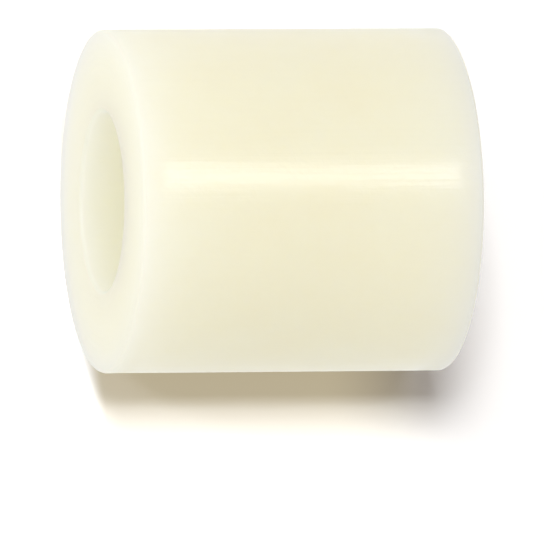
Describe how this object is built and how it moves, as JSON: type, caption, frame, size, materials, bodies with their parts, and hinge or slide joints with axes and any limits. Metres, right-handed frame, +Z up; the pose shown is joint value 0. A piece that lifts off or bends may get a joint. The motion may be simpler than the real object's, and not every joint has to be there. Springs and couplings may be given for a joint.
{
  "type": "round spacer",
  "caption": "Plain round nylon spacer: a short thick tube with square-cut ends, broken edges and a clear through bore for a screw.",
  "frame": {"origin": "middle of the lower end, on the bore's axis", "axes": "+Z up along the bore, from the lower end to the upper end; X and Y are equal, because the part is round"},
  "size_m": [0.0124, 0.0124, 0.0127],
  "materials": {
    "nylon": "natural translucent cream nylon with a soft satin sheen"
  },
  "bodies": {
    "root": {"spacer": "nylon"}
  },
  "joints": []
}
